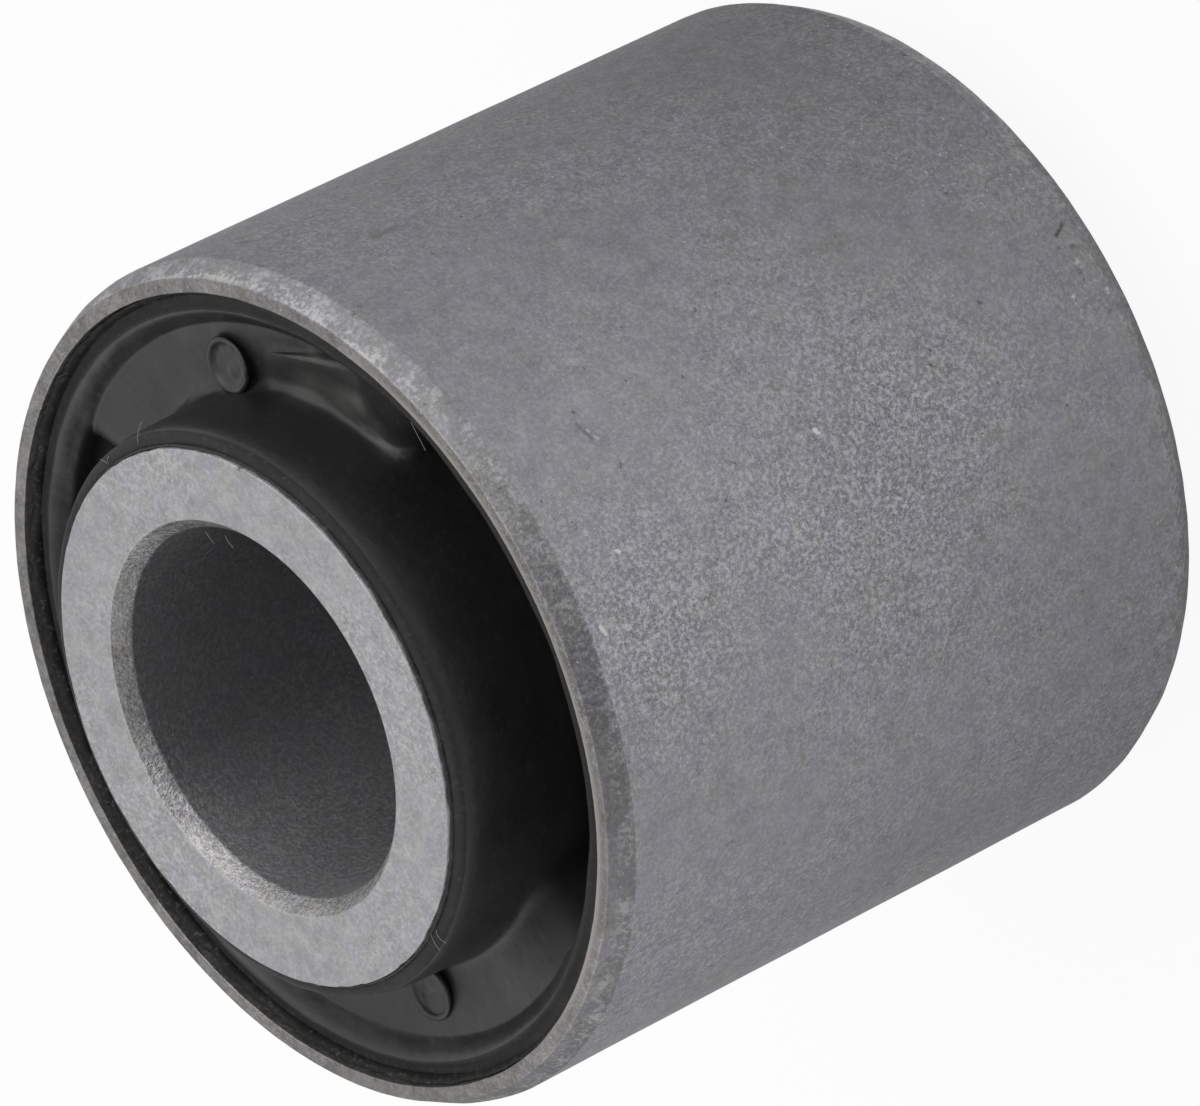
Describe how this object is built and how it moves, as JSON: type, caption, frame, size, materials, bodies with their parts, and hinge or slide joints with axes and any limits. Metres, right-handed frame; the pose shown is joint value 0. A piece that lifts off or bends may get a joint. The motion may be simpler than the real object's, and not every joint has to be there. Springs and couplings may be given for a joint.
{
  "type": "rubber metal bush",
  "caption": "Cylindrical rubber metal bush: thin steel outer sleeve, slotted black rubber body and thick steel inner sleeve with a plain bolt bore.",
  "frame": {"origin": "on the bush's axis, at the lower end face of the inner sleeve, on which it stands", "axes": "+Z along the axis towards the upper end; +X through the middle of one rubber void; +Y through the middle of one rubber arm"},
  "size_m": [0.032, 0.032, 0.0336],
  "materials": {
    "outer_steel": "matte dark grey phosphate-like skin with a fine grain",
    "black_rubber": "moulded, semi-gloss black",
    "inner_steel": "matte light grey, sawn and faced ends"
  },
  "bodies": {
    "root": {"outer_sleeve": "outer_steel", "rubber_body": "black_rubber", "inner_sleeve": "inner_steel"}
  },
  "joints": []
}
